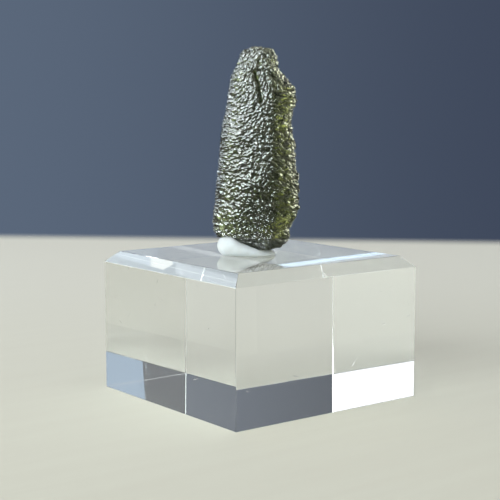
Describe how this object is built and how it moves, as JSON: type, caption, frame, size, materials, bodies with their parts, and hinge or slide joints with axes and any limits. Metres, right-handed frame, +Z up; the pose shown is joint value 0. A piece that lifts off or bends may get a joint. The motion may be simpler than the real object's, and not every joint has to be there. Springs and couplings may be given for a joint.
{
  "type": "moldavite on a display block",
  "caption": "Drop of wrinkled dark green natural glass, standing upright in white mounting putty on a square block of clear acrylic with bevelled top edges; a desk or shelf specimen",
  "frame": {"origin": "centre of the block's underside, on the surface that it stands on", "axes": "+Z up; X and Y along the block's sides, and the stone's broad face looks between -X and -Y"},
  "size_m": [0.04, 0.04, 0.0622],
  "materials": {
    "moldavite_glass": "natural green glass, deeply etched into short glossy wrinkles, green where it is thin and nearly black where it is thick",
    "white_putty": "soft white reusable putty, pressed smooth, faintly glossy",
    "clear_acrylic": "polished cast acrylic, colourless and see-through, with a few fine scratches"
  },
  "bodies": {
    "root": {"moldavite": "moldavite_glass", "mounting_putty": "white_putty", "display_block": "clear_acrylic"}
  },
  "joints": []
}
